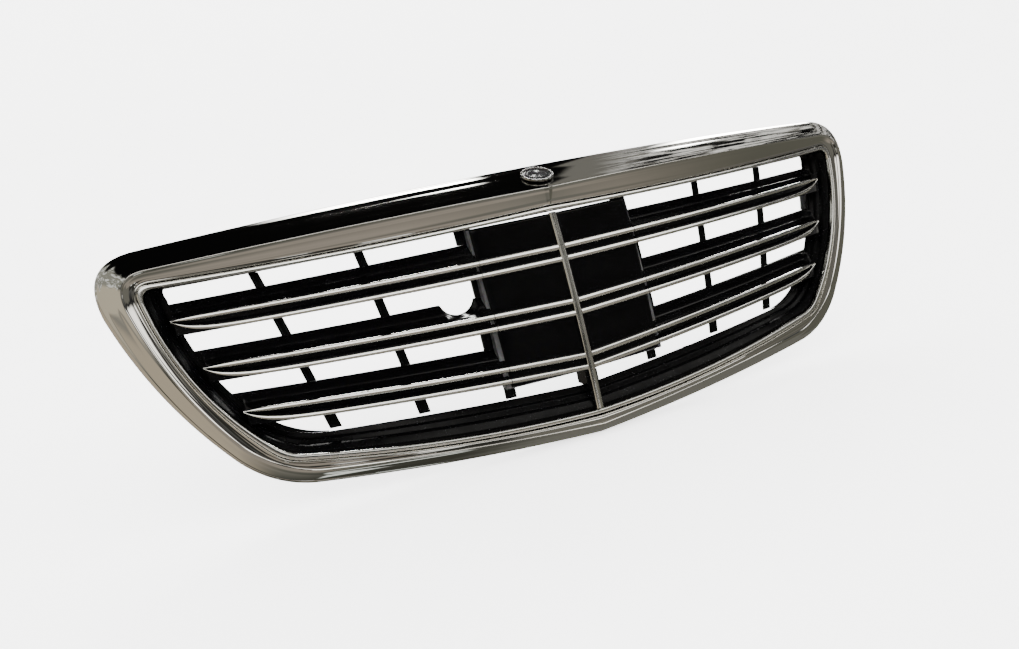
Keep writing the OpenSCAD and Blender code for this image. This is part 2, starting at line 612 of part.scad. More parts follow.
surround();
insert_bezel();
carrier_top();
carrier_left();
carrier_right();
carrier_foot();
slats_left();
slats_right();
uprights_left();
uprights_right();
louvre_left_upper();
louvre_left_middle();
louvre_left_lower();
louvre_right_upper();
louvre_right_middle();
louvre_right_lower();
trim_left_upper();
trim_left_middle();
trim_left_lower();
trim_right_upper();
trim_right_middle();
trim_right_lower();
sensor_cover();
cover_frame();
cover_strips_upper();
cover_strips_middle();
cover_strips_lower();
centre_bar_top();
centre_bar_middle();
centre_bar_foot();
centre_post();
badge_ring();
badge_disc();
badge_nut();
upper_bracket_left();
upper_bracket_right();
bolt_sleeves();
lower_bracket_left();
lower_bracket_right();
side_bracket_left();
side_bracket_right();
bracket_screws();
carrier_screws();
cover_screws();
edge_clips();
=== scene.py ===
import math

import bpy
import numpy as np
from mathutils import Matrix, Vector


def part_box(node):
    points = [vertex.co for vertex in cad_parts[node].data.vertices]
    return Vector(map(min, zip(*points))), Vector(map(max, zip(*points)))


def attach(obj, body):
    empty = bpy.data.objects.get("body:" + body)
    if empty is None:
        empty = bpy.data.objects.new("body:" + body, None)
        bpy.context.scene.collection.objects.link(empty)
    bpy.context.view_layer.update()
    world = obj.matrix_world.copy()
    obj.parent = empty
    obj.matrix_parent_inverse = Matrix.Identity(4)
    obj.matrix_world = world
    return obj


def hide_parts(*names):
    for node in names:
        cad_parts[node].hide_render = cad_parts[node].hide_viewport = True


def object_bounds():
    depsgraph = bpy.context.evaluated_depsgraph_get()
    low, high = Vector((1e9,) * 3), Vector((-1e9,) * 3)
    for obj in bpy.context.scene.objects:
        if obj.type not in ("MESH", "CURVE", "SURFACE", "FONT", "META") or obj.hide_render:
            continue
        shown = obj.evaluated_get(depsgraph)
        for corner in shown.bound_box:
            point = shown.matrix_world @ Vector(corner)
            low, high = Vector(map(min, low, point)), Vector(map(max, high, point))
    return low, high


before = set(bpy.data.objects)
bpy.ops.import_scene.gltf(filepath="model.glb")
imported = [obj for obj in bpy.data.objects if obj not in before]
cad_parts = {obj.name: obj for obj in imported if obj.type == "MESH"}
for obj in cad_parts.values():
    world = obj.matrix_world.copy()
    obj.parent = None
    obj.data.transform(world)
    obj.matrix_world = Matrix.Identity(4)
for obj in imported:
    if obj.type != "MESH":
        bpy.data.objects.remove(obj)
cad_lo, cad_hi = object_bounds()

# The outlines are drawn in millimetres in the face frame: origin on the centre plane, level with
# the tips of the upper louvres, +Y to the rear. The bolt sleeves give its place in the frame.
sleeve_lo, sleeve_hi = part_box("bolt_sleeves")
DATUM = np.array((sleeve_lo + sleeve_hi) / 2) - np.array([0.0, 0.062, 0.062])
MM = 0.001

# ---------------------------------------------------------------- face and outlines

CREASE = np.array([[0, 63], [444, 52], [334, -161], [0, -190]], float)
EDGE_N = 44
CORNER_N = 26
NEAR = np.array([0, 0.002, 0.004, 0.006, 0.008, 0.010, 0.012, 0.016])
SPREAD = np.concatenate([NEAR, np.linspace(0.022, 1, EDGE_N)])
# Way in which each corner of an outline moves when the outline grows
GROWTH = np.array([[0, 1], [1, 1], [0.9, -1], [0, -1]], float)
# The face leans back, bellies a little, has a shallow vee in plan and sweeps back to its ends
FACE_DEPTH, LEVEL = -63, 6
LEAN, BELLY, VEE, SWEEP_BACK = 0.3, 0.0004, 0.04, 0.000294


def face(x, z):
    """Depth of the face at a half width and a height."""
    up = z + LEVEL
    return FACE_DEPTH + LEAN * up + BELLY * up**2 + VEE * np.abs(x) + SWEEP_BACK * x * x


def rail(steps, bows, rounds, depths):
    """Outline set off from the crease: bows of its sides, roundings of its corners, depths."""
    return (
        CREASE + np.array(steps, float),
        np.array(bows, float),
        np.array(rounds, float),
        np.array(depths, float),
    )


BEAD = rail([[0, -25.6], [-22.4, -17.2], [-10.6, 17], [0, 15.4]], [-2.5, 19, 6.5], [14, 14], [2, -17, 1])
GROOVE = rail([[0, -19.2], [-16.3, -11], [-5.7, 12], [0, 9.3]], [-2.8, 19, 6.5], [18, 12], [0, -15, 2.5])
FRONT = rail([[0, 0]] * 4, [3.7, 18.4, 1.7], [32, 46], [-6, -10, -3])
RIM = rail([[0, 20], [28, 14.5], [7, -12.5], [0, -12.5]], [3.8, 22, 4.2], [55, 40], [26, -34, 12])
THROAT = rail([[0, -28.5], [-41, -23.5], [-12, 27.2], [0, 39.8]], [0, 17, 0.4], [5, 44], [18, 0, 0])


def grow(r, d, dy):
    """Outline d larger all round and dy deeper."""
    return (r[0] + d * GROWTH, r[1], r[2], r[3] + np.array([dy, 0, 0]))


def blend(a, b, t):
    """Outline a share t of the way from a to b."""
    return tuple(p * (1 - t) + q * t for p, q in zip(a, b))


def bezier(a, m, b, t):
    t = np.asarray(t)[..., None]
    return (1 - t) ** 2 * a + 2 * t * (1 - t) * m + t**2 * b


def edge(a, b, bow, t0, t1, spread):
    """Bowed side between two corners, from a share t0 to t1 of its length."""
    d = b - a
    m = (a + b) / 2 + 2 * bow * np.array([-d[1], d[0]]) / np.linalg.norm(d)
    return bezier(a, m, b, t0 + (t1 - t0) * spread)


def rail_line(r):
    """Closed line round the face, clockwise seen from the front, from the centre top."""
    p, bows, rounds, depths = r
    top = rounds[0] / np.linalg.norm(p[1] - p[0])
    shoulder = rounds[0] / np.linalg.norm(p[2] - p[1])
    hip = rounds[1] / np.linalg.norm(p[2] - p[1])
    toe = rounds[1] / np.linalg.norm(p[3] - p[2])
    e1 = edge(p[0], p[1], bows[0], 0, 1 - top, SPREAD)
    e2 = edge(p[1], p[2], bows[1], shoulder, 1 - hip, np.linspace(0, 1, EDGE_N))
    e3 = edge(p[2], p[3], bows[2], toe, 1, 1 - SPREAD[::-1])
    t = np.arange(1, CORNER_N + 1) / (CORNER_N + 1)
    q = np.concatenate([e1, bezier(e1[-1], p[1], e2[0], t), e2, bezier(e2[-1], p[2], e3[0], t), e3])
    y = face(q[:, 0], q[:, 1]) + depths[0] + depths[1] * (q[:, 0] / 450) ** 2
    y = y + depths[2] * (q[:, 1] + 60) / 130
    half = np.stack([q[:, 0], y, q[:, 1]], 1)
    return np.concatenate([half, (half * [-1, 1, 1])[-2:0:-1]])


def unit(v):
    return v / np.maximum(np.linalg.norm(v, axis=-1, keepdims=True), 1e-9)


# Share of a stretch that one corner's rounding may take
MOST_ROUNDED = 0.45


def section(chain, rounds=None, bows=None, cuts=5, arc=6):
    """Rounded section through a chain of outlines: a grid [station, place across, xyz].

    rounds is the rounding at each inner outline and bows the bulge of each stretch, in mm."""
    p = np.stack([rail_line(r) for r in chain], 1)
    count = p.shape[1]
    rounds = rounds or [1] * (count - 2)
    bows = bows or [0] * (count - 1)
    along = unit(np.roll(p, -1, 0) - np.roll(p, 1, 0))
    length = np.linalg.norm(p[:, 1:] - p[:, :-1], axis=-1)
    rows = []
    for i in range(count - 1):
        u = unit(p[:, i + 1] - p[:, i])
        out = unit(np.cross(along[:, i], u))
        most = MOST_ROUNDED * length[:, i]
        cut_a = np.minimum(rounds[i - 1], most)[:, None] if i else 0
        cut_b = np.minimum(rounds[i], most)[:, None] if i < count - 2 else 0
        a = p[:, i] + u * cut_a
        b = p[:, i + 1] - u * cut_b
        for t in np.linspace(0, 1, cuts):
            rows.append(a * (1 - t) + b * t + out * bows[i] * 4 * t * (1 - t))
        if i < count - 2:
            v = unit(p[:, i + 2] - p[:, i + 1])
            reach = np.minimum(rounds[i], MOST_ROUNDED * length[:, i + 1])[:, None]
            c = p[:, i + 1] + v * reach
            for t in np.linspace(0, 1, arc + 2)[1:-1]:
                rows.append((1 - t) ** 2 * b + 2 * t * (1 - t) * p[:, i + 1] + t**2 * c)
    return np.stack(rows, 1)


# ---------------------------------------------------------------- meshes


def between(front, rear, closed=False):
    """Points and faces of the solid between a front and a rear grid."""
    m, n = front.shape[:2]
    k = rear.shape[1]
    s = m * n
    faces = []
    runs = m if closed else m - 1
    for i in range(runs):
        i2 = (i + 1) % m
        for j in range(n - 1):
            faces.append((i * n + j, i * n + j + 1, i2 * n + j + 1, i2 * n + j))
        for j in range(k - 1):
            faces.append((s + i2 * k + j, s + i2 * k + j + 1, s + i * k + j + 1, s + i * k + j))
        faces.append((i * n, i2 * n, s + i2 * k, s + i * k))
        faces.append((i2 * n + n - 1, i * n + n - 1, s + i * k + k - 1, s + i2 * k + k - 1))
    if not closed:
        for i, turn in ((0, 1), (m - 1, -1)):
            loop = [i * n + j for j in range(n)] + [s + i * k + j for j in range(k - 1, -1, -1)]
            faces.append(tuple(loop[::-1] if turn > 0 else loop))
    return np.concatenate([front.reshape(-1, 3), rear.reshape(-1, 3)]), faces


def strip(xs, front, rear):
    """Solid along the face: front and rear give (depths, heights) for an array of stations."""
    grids = []
    for rows in (front(xs), rear(xs)):
        z = np.stack([np.broadcast_to(q[1], xs.shape) for q in rows], 1)
        d = np.stack([np.broadcast_to(q[0], xs.shape) for q in rows], 1)
        x = np.repeat(xs[:, None], z.shape[1], 1)
        grids.append(np.stack([x, face(x, z) + d, z], 2))
    return between(*grids)


def turned(profile, place, count):
    """Solid of revolution about +Z: profile gives (radius, height) from the foot up."""
    a = np.linspace(0, 2 * math.pi, count, endpoint=False)
    pts = []
    for r, h in profile:
        pts.append(np.stack([r * np.cos(a), r * np.sin(a), np.full(count, float(h))], 1))
    faces = []
    for k in range(len(profile) - 1):
        for i in range(count):
            j = (i + 1) % count
            faces.append((k * count + i, k * count + j, (k + 1) * count + j, (k + 1) * count + i))
    faces.append(tuple(range(count))[::-1])
    faces.append(tuple((len(profile) - 1) * count + i for i in range(count)))
    return np.concatenate(pts) + place, faces


def joined(parts):
    """Several meshes as one."""
    pts, faces, base = [], [], 0
    for p, f in parts:
        pts.append(p)
        faces += [tuple(base + i for i in q) for q in f]
        base += len(p)
    return np.concatenate(pts), faces


def flipped(part):
    """Mirror image across the centre plane."""
    p, f = part
    return p * [-1, 1, 1], [q[::-1] for q in f]


def piece(name, part, material, nodes, sharp=32):
    """Visual piece in place of CAD nodes, smooth but for edges sharper than an angle."""
    pts, faces = part
    mesh = bpy.data.meshes.new(name)
    mesh.from_pydata([tuple(v) for v in pts * MM + DATUM], [], faces)
    mesh.validate()
    mesh.polygons.foreach_set("use_smooth", [True] * len(mesh.polygons))
    mesh.set_sharp_from_angle(angle=math.radians(sharp))
    mesh.materials.append(material)
    obj = bpy.data.objects.new(name, mesh)
    bpy.context.scene.collection.objects.link(obj)
    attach(obj, "root")
    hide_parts(*nodes)


# ---------------------------------------------------------------- materials


FLECK_SCALE = 900.0
# Unevenness of the gloss, and how much finer it is than that of the tone
ROUGH_SPREAD, GLOSS_SCALE = 0.3, 2.3
PEEL_HEIGHT = 0.0004


def shader(name, base, metallic, rough, coat=0.0, coat_rough=0.05, spread=0.15, scale=30.0,
           peel=0.02, peel_scale=350.0, fleck=0.0, ior=1.5, tint=None):
    """Finish with an uneven tone, an uneven gloss and a fine relief, in object coordinates."""
    mat = bpy.data.materials.new(name)
    mat.use_nodes = True
    nodes, links = mat.node_tree.nodes, mat.node_tree.links
    bsdf = next(n for n in nodes if n.type == "BSDF_PRINCIPLED")
    coords = nodes.new("ShaderNodeTexCoord")

    def noise(size, detail=4.0):
        n = nodes.new("ShaderNodeTexNoise")
        n.inputs["Scale"].default_value = size
        n.inputs["Detail"].default_value = detail
        links.new(coords.outputs["Object"], n.inputs["Vector"])
        return n.outputs["Fac"]

    def spanned(value, low, high):
        n = nodes.new("ShaderNodeMapRange")
        n.inputs["From Min"].default_value = 0.3
        n.inputs["From Max"].default_value = 0.7
        n.inputs["To Min"].default_value = low
        n.inputs["To Max"].default_value = high
        links.new(value, n.inputs["Value"])
        return n.outputs["Result"]

    other = tint or [c * (1 - spread) for c in base]
    tone = nodes.new("ShaderNodeMix")
    tone.data_type = "RGBA"
    tone.inputs["A"].default_value = (*base, 1)
    tone.inputs["B"].default_value = (*other, 1)
    links.new(spanned(noise(scale), 0.0, 1.0), tone.inputs["Factor"])
    colour = tone.outputs["Result"]
    if fleck:
        dots = nodes.new("ShaderNodeTexVoronoi")
        dots.inputs["Scale"].default_value = FLECK_SCALE
        links.new(coords.outputs["Object"], dots.inputs["Vector"])
        shade = nodes.new("ShaderNodeMix")
        shade.data_type = "RGBA"
        shade.blend_type = "MULTIPLY"
        shade.inputs["Factor"].default_value = fleck
        links.new(colour, shade.inputs["A"])
        links.new(dots.outputs["Color"], shade.inputs["B"])
        colour = shade.outputs["Result"]
    links.new(colour, bsdf.inputs["Base Color"])
    gloss = noise(scale * GLOSS_SCALE)
    uneven = spanned(gloss, rough * (1 - ROUGH_SPREAD), rough * (1 + ROUGH_SPREAD))
    links.new(uneven, bsdf.inputs["Roughness"])
    bump = nodes.new("ShaderNodeBump")
    bump.inputs["Strength"].default_value = peel
    bump.inputs["Distance"].default_value = PEEL_HEIGHT
    links.new(noise(peel_scale, 2.0), bump.inputs["Height"])
    links.new(bump.outputs["Normal"], bsdf.inputs["Normal"])
    bsdf.inputs["Metallic"].default_value = metallic
    bsdf.inputs["IOR"].default_value = ior
    bsdf.inputs["Coat Weight"].default_value = coat
    bsdf.inputs["Coat Roughness"].default_value = coat_rough
    return mat


SURROUND = shader("plated_surround", (0.80, 0.785, 0.75), 1.0, 0.045, spread=0.06, scale=9,
                  peel=0.03, peel_scale=120)
BRIGHT = shader("plated_trim", (0.95, 0.945, 0.91), 1.0, 0.17, spread=0.08, scale=25,
                peel=0.03, peel_scale=200)
LOUVRE = shader("louvre_black", (0.001, 0.001, 0.0011), 0.0, 0.10, spread=0.4, peel=0.05,
                peel_scale=260, ior=1.3)
CARRIER = shader("carrier_black", (0.001, 0.001, 0.0011), 0.0, 0.30, spread=0.4, peel=0.1,
                 peel_scale=700, fleck=0.3, ior=1.2)
COVER = shader("cover_gloss", (0.0006, 0.0006, 0.0007), 0.0, 0.06, spread=0.3, peel=0.02,
               peel_scale=150, ior=1.25)
BRACKET = shader("bracket_black", (0.03, 0.03, 0.031), 0.0, 0.55, spread=0.35, peel=0.35,
                 peel_scale=900, fleck=0.5)
RING = shader("badge_plated", (0.62, 0.62, 0.61), 1.0, 0.12, spread=0.9, scale=420, peel=0.12,
              peel_scale=600)
FIELD = shader("badge_field", (0.008, 0.008, 0.009), 0.0, 0.22, coat=0.2, coat_rough=0.05,
               spread=0.3, fleck=0.25, ior=1.3)
ZINC = shader("zinc_steel", (0.62, 0.60, 0.52), 1.0, 0.34, tint=(0.50, 0.52, 0.56), scale=90,
              peel=0.2, peel_scale=1200, fleck=0.2)

# ---------------------------------------------------------------- surround and frame

WALL = 3.0
LIP = 12.0
SHOULDER = grow(blend(FRONT, RIM, 0.45), 1.5, -1)
BAND = blend(GROOVE, FRONT, 0.5)
BAND = (BAND[0], BAND[1], BAND[2], BAND[3] + np.array([0.0, 2.2, 0.0]))
outer = section(
    [grow(GROOVE, 0, 7), GROOVE, BAND, FRONT, SHOULDER, RIM, grow(RIM, -1, LIP)],
    [0.9, 6, 0.9, 14, 2.0], [0, -0.3, -0.3, 0.3, 0.6, 0], cuts=7)
# A wedge-shaped fold runs down the band from the badge to the centre bar
FOLD_FOOT, FOLD_TOP, FOLD_RISE, FOLD_REACH = 43.0, 63.5, 1.3, 6
height, aside = outer[..., 2], np.abs(outer[..., 0])
fold_w = 1.4 + 3.6 * np.clip((height - FOLD_FOOT) / 20.0, 0, 1)
on_band = (height > FOLD_FOOT) & (height < FOLD_TOP) & (aside < FOLD_REACH)
outer[..., 1] -= np.where(on_band, FOLD_RISE * np.clip(1 - aside / fold_w, 0, 1), 0)
inner = section(
    [grow(GROOVE, WALL, 7), grow(GROOVE, WALL, WALL + 1), grow(FRONT, -WALL / 2, WALL + 1),
     grow(SHOULDER, -WALL, WALL), grow(RIM, -WALL, WALL), grow(RIM, -WALL - 1, LIP)],
    [1, 1, 8, 1], cuts=3, arc=3)
piece("surround_shell", between(outer, inner, True), SURROUND, ["surround"])

BEAD_W = 5.0
bead = section(
    [grow(BEAD, 0, 5), grow(BEAD, 0, 0.9), grow(BEAD, 0.9, -0.6), grow(BEAD, BEAD_W / 2, -0.9),
     grow(BEAD, BEAD_W - 0.9, -0.6), grow(BEAD, BEAD_W, 0.9), grow(BEAD, BEAD_W, 5)],
    [0.5, 0.5, 0.8, 0.5, 0.5], cuts=3, arc=4)
bead_back = section([grow(BEAD, 0, 6.5), grow(BEAD, BEAD_W, 6.5)], cuts=2)
piece("insert_bead", between(bead, bead_back, True), BRIGHT, ["insert_bezel"])

STEP = blend(BEAD, THROAT, 0.45)
FLANGE = grow(RIM, -8, LIP + 2)
THROAT_D = 15
MOUTH = blend(grow(THROAT, 0, THROAT_D), FLANGE, 0.16)
C_WALL = 2.6


def inward(t, dy):
    """Outline a share t of the way from the bead to the throat."""
    return grow(blend(BEAD, THROAT, t), 0, dy)


frame_front = section(
    [grow(BEAD, 5, 7), grow(BEAD, -0.4, 7), inward(0.10, 5), inward(0.12, 2), inward(0.38, 0.6),
     inward(0.42, 1.2), inward(0.44, 4.6), inward(0.64, 2.2), inward(0.68, 2.8), inward(0.70, 5.0),
     inward(0.94, 2.0), THROAT, MOUTH, FLANGE],
    [0.4, 0.5, 0.5, 0.5, 0.5, 0.5, 0.5, 0.5, 0.5, 0.8, 1.0, 2], cuts=2, arc=4)
frame_rear = section(
    [grow(BEAD, 5, 7 + C_WALL), grow(BEAD, C_WALL, 7 + C_WALL), grow(STEP, C_WALL, C_WALL + 2),
     grow(STEP, C_WALL - 1, 7), grow(THROAT, C_WALL, C_WALL), grow(MOUTH, C_WALL, -C_WALL),
     grow(RIM, -8, LIP - 1)],
    [1, 1, 1, 1, 1], cuts=2, arc=3)
piece("carrier_shell", between(frame_front[:, ::-1], frame_rear[:, ::-1], True), CARRIER,
      ["carrier_top", "carrier_left", "carrier_right", "carrier_foot"])

# ---------------------------------------------------------------- louvres

LOUVRE_Z = [-0.3, -57.6, -115.3]
RISE = [0.0015, 0.024, 0.054]
TIP = [400, 381, 355]
STRIP_H = 5.4
STRIP_LOSS = 1.2
STRIP_D = 3.0
GAP = 12.6
POINT = 28.0
SWEEP = 18.0
TIP_H = 0.5
TIP_GAP = 0.6
CREST, CREST_FALL = 17.8, 0.018
BODY = 20.0
FOOT_DROP = 3.2
SEAT = STRIP_D / 2 + 0.2
CAMERA_X, CAMERA_Z, CAMERA_R = 120.5, -31.0, 19.5
# Ridges: places up the slope, as shares of it, and how deep each lies
RIDGES, RIDGE_PITCH = 5, 0.085
RIDGE = ((0, 0.9 * 1.1), (0.025, 0.05 * 1.1), (0.055, 0.05 * 1.1), (0.075, 0.9 * 1.1))


def strip_z(row, x):
    """Height of a row's upper strip."""
    return LOUVRE_Z[row] + RISE[row] * x


def gap_at(row, x):
    """Distance between the two strips of a row, which meet at the tip."""
    return TIP_GAP + (GAP - TIP_GAP) * (1 - np.exp((x - TIP[row]) / SWEEP))


def half_h(row, x):
    """Half the height of a strip, which comes to a point at the tip."""
    u = np.clip((TIP[row] - x) / POINT, 0, 1)
    full = STRIP_H - STRIP_LOSS * x / CREASE[1][0]
    return np.maximum(TIP_H, full / 2 * np.sin(math.pi / 2 * u))


def crest_z(row, x, camera):
    """Height of a louvre's top edge; the left middle one is cut out under the camera."""
    top = strip_z(row, x) + CREST - CREST_FALL * (x - 100)
    if camera and row == 1:
        dx = np.abs(x - CAMERA_X)
        ring = CAMERA_Z - np.sqrt(np.maximum(CAMERA_R**2 - dx**2, 0))
        top = np.where(dx < CAMERA_R, np.minimum(top, ring), top)
    return top


def cover_w(z):
    """Half width of the sensor cover at a height."""
    return 93.5 + 0.03 * np.minimum(0, z)


def stations(a, b, camera):
    """Places along a louvre, closer together at its tip and round the camera."""
    xs = [np.linspace(a, b, 90), b - np.geomspace(0.4, 40, 24)]
    if camera:
        xs.append(CAMERA_X - CAMERA_R * np.cos(np.linspace(0, math.pi, 33)))
    xs = np.unique(np.round(np.concatenate(xs), 3))
    return xs[(xs >= a) & (xs <= b)]


def louvre(row, camera=False):
    """Louvre body: a channel between its two strips and fine ridges up its sloping top."""
    xs = stations(cover_w(LOUVRE_Z[row]) + 0.6, TIP[row] - 3.0, camera and row == 1)

    def parts(x):
        z, h = strip_z(row, x), half_h(row, x)
        r = np.maximum(0.6, gap_at(row, x) - 2 * h)
        return z, h, r, z - h - r

    def front(x):
        z, h, r, low = parts(x)
        top = crest_z(row, x, camera)
        depth = np.minimum(BODY, 6 + TIP[row] - x) - 1
        foot = strip_z(row, x) - GAP - FOOT_DROP
        rows = [(6, foot), (SEAT + 0.5, foot + 1.0), (SEAT, foot + 1.5), (SEAT, low),
                (SEAT + 0.6, low + r * 0.1), (SEAT + 5, low + r / 4), (SEAT + 5, z - h - r / 4),
                (SEAT + 0.6, z - h - r * 0.1), (SEAT, z - h), (SEAT, z + h)]

        def slope(u, sunk):
            return SEAT + sunk + (depth - SEAT) * u**1.25, z + h + (top - z - h) * u

        for k in range(RIDGES):
            for dt, sunk in RIDGE:
                rows.append(slope(0.03 + RIDGE_PITCH * k + dt, sunk))
        for u in (0.5, 0.6, 0.7, 0.8, 0.9, 0.96):
            rows.append(slope(u, 0.3))
        rows.append((depth, top))
        return rows

    def rear(x):
        z, h, _, low = parts(x)
        depth = np.minimum(BODY, 6 + TIP[row] - x)
        foot = strip_z(row, x) - GAP - FOOT_DROP
        return [(depth, q) for q in (foot + 0.4, low, z - h, z + h, crest_z(row, x, camera))]

    return strip(xs, front, rear)


# Section of a bright strip: places across it and how far each stands out
ACROSS = np.array([-1, -0.93, -0.78, -0.5, -0.2, 0, 0.2, 0.5, 0.78, 0.93, 1])
RELIEF = np.array([0.1, -0.55, -0.95, -1.15, -1.35, -1.5, -1.35, -1.15, -0.95, -0.55, 0.1])


def bright_strip(xs, row, mid, back):
    """Bright strip with a blunt ridge, centred at height mid(x) and backed at a depth."""

    def front(x):
        h = half_h(row, x)
        ease = np.clip(h / 2, 0.35, 1)
        return [(d * ease, mid(x) + t * h) for t, d in zip(ACROSS, RELIEF)]

    return strip(xs, front, lambda x: [(back, mid(x) + t * half_h(row, x)) for t in (-1, 1)])


TRIM_N = 70


def trim(row):
    """The two bright strips of a row, closer in stations towards the tip."""
    start = cover_w(LOUVRE_Z[row]) + 0.6
    xs = TIP[row] - (TIP[row] - start) * (np.arange(TRIM_N, -1, -1) / TRIM_N) ** 2.0
    return joined([bright_strip(xs, row, lambda x: strip_z(row, x), STRIP_D / 2),
                   bright_strip(xs, row, lambda x: strip_z(row, x) - gap_at(row, x), STRIP_D / 2)])


NAMES = ["upper", "middle", "lower"]
for row, name in enumerate(NAMES):
    piece(f"louvre_right_{name}_skin", louvre(row), LOUVRE, [f"louvre_right_{name}"])
    piece(f"louvre_left_{name}_skin", flipped(louvre(row, True)), LOUVRE,
          [f"louvre_left_{name}"])
    piece(f"trim_right_{name}_skin", trim(row), BRIGHT, [f"trim_right_{name}"], 60)
    piece(f"trim_left_{name}_skin", flipped(trim(row)), BRIGHT,
          [f"trim_left_{name}"], 60)

# ---------------------------------------------------------------- lattice

LATTICE_FRONT, LATTICE_REAR = 20.5, 26.5
FIN_FRONT, FIN_REAR = 18.0, 24.5
SLAT_T = 3.0
SLAT_DROP = 16.0
STRUT = 9.6
# Half width at the level of the tips, and slope, of the two straight uprights a side
UPRIGHTS = [(304.4, 0.256), (201.9, 0.155)]
RIB_SHIFT = 1.6
POST_X, POST_W = 87.5, 12.0
INNER = (86.0, 104.6)
CAMERA_POST = 100.4


def throat_top(x):
    """Height of the throat's roof."""
    return 34.5 - 6 * x / 403


def throat_foot(x):
    """Height of the throat's floor."""
    return -150.2 + 0.051 * x


def column(foot, slope, ends, near, far, front, rear, ease=0.9):
    """Bar up the face between two heights, with eased front edges: its sides in front and behind."""
    zs = np.linspace(ends[0], ends[1], 16)
    a, b = near

    def wall(side, depth):
        x = foot + slope * zs + side
        return np.stack([x, face(x, zs) + depth, zs], 1)

    across = [(a, front + 2 * ease), (a, front + ease), (a + 0.3 * ease, front + 0.3 * ease),
              (a + ease, front), (b - ease, front), (b - 0.3 * ease, front + 0.3 * ease),
              (b, front + ease), (b, front + 2 * ease)]
    f = np.stack([wall(s, d) for s, d in across], 1)[:, ::-1]
    r = np.stack([wall(s, rear) for s in far], 1)[:, ::-1]
    return between(f[::-1], r[::-1])


def throat_x(z, d):
    """Half width of the side of the throat, grown by d, at a height."""
    r = grow(THROAT, d, 0)
    a, b = r[0][1], r[0][2]
    s = b - a
    m = (a + b) / 2 + 2 * r[1][1] * np.array([-s[1], s[0]]) / np.linalg.norm(s)
    bend, fall = a[1] - 2 * m[1] + b[1], 2 * (a[1] - m[1])
    t = (fall - math.sqrt(fall**2 - 4 * bend * (a[1] - z))) / (2 * bend)
    return float(bezier(a, m, b, np.array([t]))[0][0])


SIDE_W = 5.2
SIDE_DEPTHS = (0.4, 2.3)


def slats(camera=False):
    """Long slats of one side, behind the louvres' upper edges."""
    parts = []
    for row in range(3):
        tip = TIP[row]
        xs = stations(82.5, tip - 50, camera and row == 1)

        def low(x):
            return strip_z(row, x) - SLAT_DROP

        def top(x):
            return crest_z(row, np.asarray(x, float), camera)

        x_low = np.append(xs, throat_x(low(tip - 20), -1))
        x_top = np.append(xs, throat_x(float(top(tip - 10)), -1))

        def wall(dy, ease):
            rows = []
            for t, d in ((0, ease), (ease, 0), (1 - ease, 0), (1, ease)) if ease else ((0, 0), (1, 0)):
                share = 0 if t == 0 else 1 if t == 1 else (0.03 if t < 0.5 else 0.97)
                x = x_low * (1 - share) + x_top * share
                z = low(x_low) * (1 - share) + top(x_top) * share
                rows.append(np.stack([x, face(x, z) + LATTICE_FRONT + dy + d, z], 1))
            return np.stack(rows, 1)

        parts.append(between(wall(0, 0.8), wall(SLAT_T, 0)))
    return joined(parts)


def side_upright():
    """Outermost upright, in front of the slats' ends; it narrows away round the corners."""
    outer = rail_line(grow(blend(THROAT, MOUTH, 0.03), -0.2, 0))
    outer_rear = rail_line(grow(blend(THROAT, MOUTH, 0.13), -0.2, 0))
    full = rail_line(grow(THROAT, -0.4 - SIDE_W, SIDE_DEPTHS[0]))
    first = len(SPREAD) - 1
    count = EDGE_N + 2 * CORNER_N + 2
    k = np.arange(count)
    share = np.clip(np.minimum(k + 1, count - k) / (CORNER_N + 1), 0.03, 1)[:, None]
    o = outer[first:first + count]
    i = o * (1 - share) + full[first:first + count] * share
    u = o - i
    ease = np.minimum(0.6 / np.linalg.norm(u, axis=1, keepdims=True), 0.3)
    front = np.stack([i + [0, 0.6, 0], i + ease * u, o], 1)
    back = np.array([0, SIDE_DEPTHS[1] - SIDE_DEPTHS[0], 0])
    return between(front, np.stack([i + back, outer_rear[first:first + count]], 1))


def fin_ends(foot, row):
    """Lower and upper end of a fin; the one under the sensor cover ends below it."""
    low = throat_foot(foot) + 0.6 if row == 3 else float(crest_z(row, foot, False)) + 0.4
    if row == 0:
        return low, throat_top(foot) - 0.6
    if row == 3 and foot < cover_w(0):
        return low, -133.0
    return low, strip_z(row - 1, foot) - SLAT_DROP - 0.4


def fin(foot, slope, row, width):
    """Broad front of an upright in one row of openings, with a fine rib down each edge."""
    h = width / 2
    ends = fin_ends(foot, row)
    parts = [column(foot, slope, ends, (-h, h), (4.4 - h, h - 1.4), FIN_FRONT, FIN_REAR)]
    for side in (-h + 2.2, h - 2.2):
        inset = (ends[0] + 0.8, ends[1] - 0.8)
        parts.append(column(foot + side, slope, inset, (-0.5, 0.5), (-0.5, 0.5), FIN_FRONT - 0.5,
                            FIN_FRONT + 1, 0.3))
    return parts


def rib(foot, slope, low, top):
    """Narrow rib behind the slats, which ties a straight upright together."""
    return column(foot, slope, (low, top), (-1.4, 1.4), (-1.4, 1.4), LATTICE_FRONT + SLAT_T + 0.05,
                  LATTICE_REAR, 0.4)


